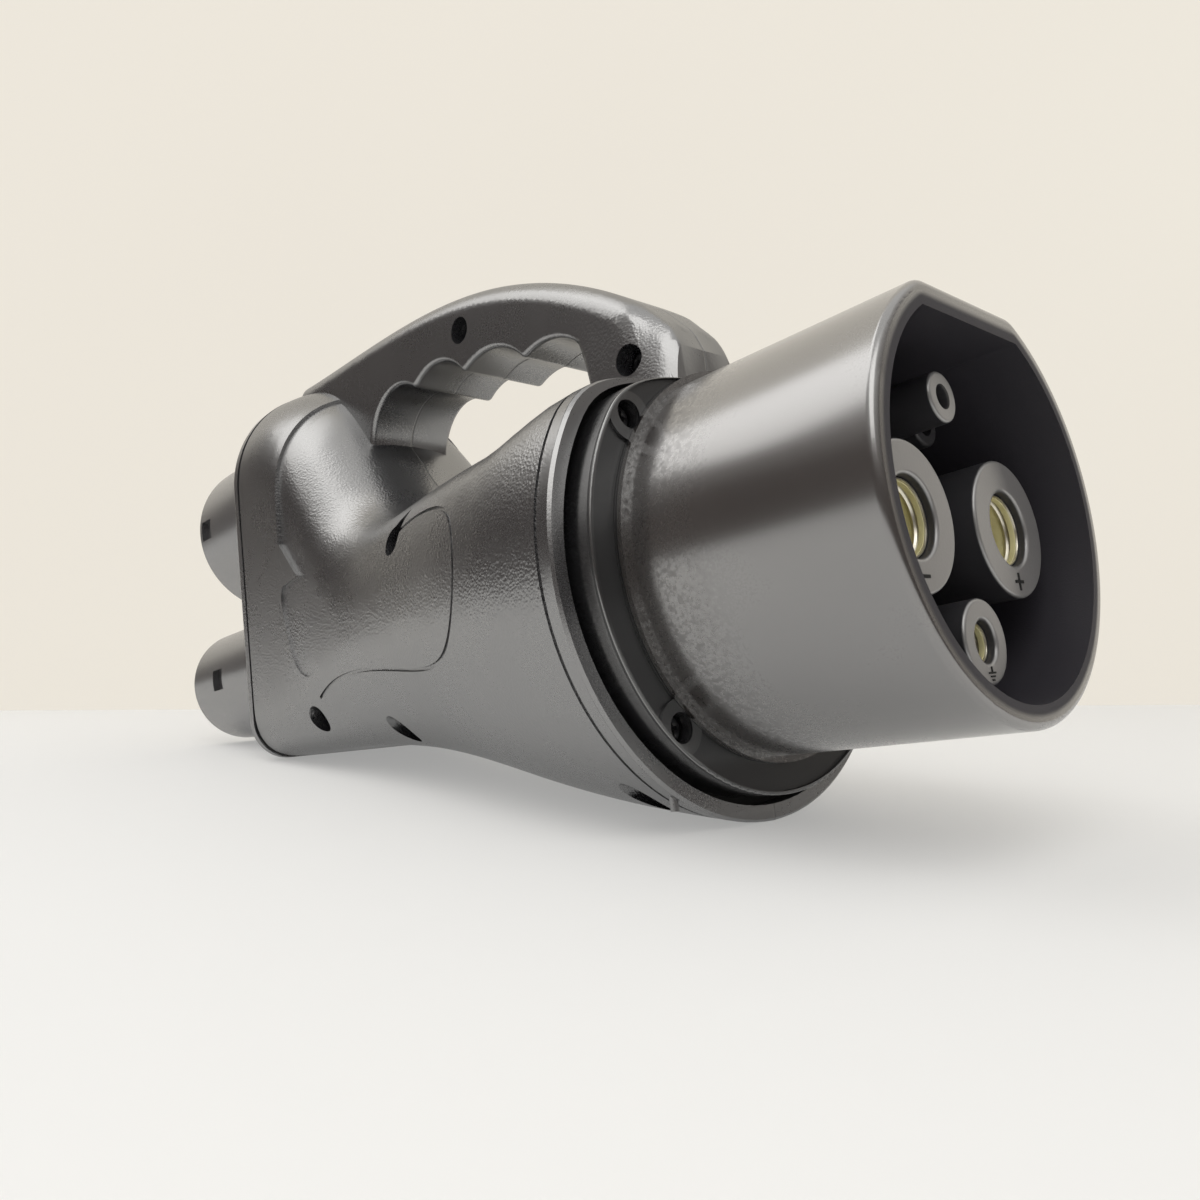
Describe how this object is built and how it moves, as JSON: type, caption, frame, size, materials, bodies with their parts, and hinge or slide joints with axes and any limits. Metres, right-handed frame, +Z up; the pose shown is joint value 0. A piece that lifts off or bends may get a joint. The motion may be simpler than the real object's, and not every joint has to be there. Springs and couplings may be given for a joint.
{
  "type": "electric vehicle charging adapter",
  "caption": "Hand-held charging adapter with a D-shaped inlet shell, a scalloped carrying handle over a waisted housing and a double-barrel plug at the back.",
  "frame": {"origin": "centre of the bounding box at the level of the table that the adapter lies on", "axes": "+X towards the D-shaped inlet shell, +Y to the left half with the housing screws' blind ends, +Z up; the adapter's own axis is tipped 9.7 degrees nose-up about Y"},
  "size_m": [0.274, 0.1004, 0.1229],
  "materials": {
    "copper": "bare copper",
    "gold_spring": "gold plated spring band",
    "insulator_plastic": "smooth matte",
    "silver_contact": "silver plated, turned",
    "black_screw": "black oxide",
    "seal_rubber": "matte",
    "shell_plastic": "smooth satin gloss",
    "housing_plastic": "fine leather-like grain, satin"
  },
  "bodies": {
    "root": {"busbar_minus": "copper", "busbar_plus": "copper", "dc_minus_band": "gold_spring", "dc_minus_sleeve": "insulator_plastic", "dc_minus_socket": "silver_contact", "dc_plus_band": "gold_spring", "dc_plus_sleeve": "insulator_plastic", "dc_plus_socket": "silver_contact", "earth_link": "copper", "earth_sleeve": "insulator_plastic", "earth_socket": "silver_contact", "flange_screws": "black_screw", "front_gasket": "seal_rubber", "front_insulator": "insulator_plastic", "front_shroud": "shell_plastic", "housing_screws": "black_screw", "left_housing": "housing_plastic", "lower_barrel": "shell_plastic", "plate_screws": "black_screw", "rear_dc_minus_socket": "silver_contact", "rear_dc_plus_socket": "silver_contact", "rear_earth_socket": "silver_contact", "rear_gasket": "seal_rubber", "rear_plate": "housing_plastic", "rear_signal_sockets": "silver_contact", "right_housing": "housing_plastic", "signal_sockets": "silver_contact", "upper_barrel": "shell_plastic"}
  },
  "joints": []
}
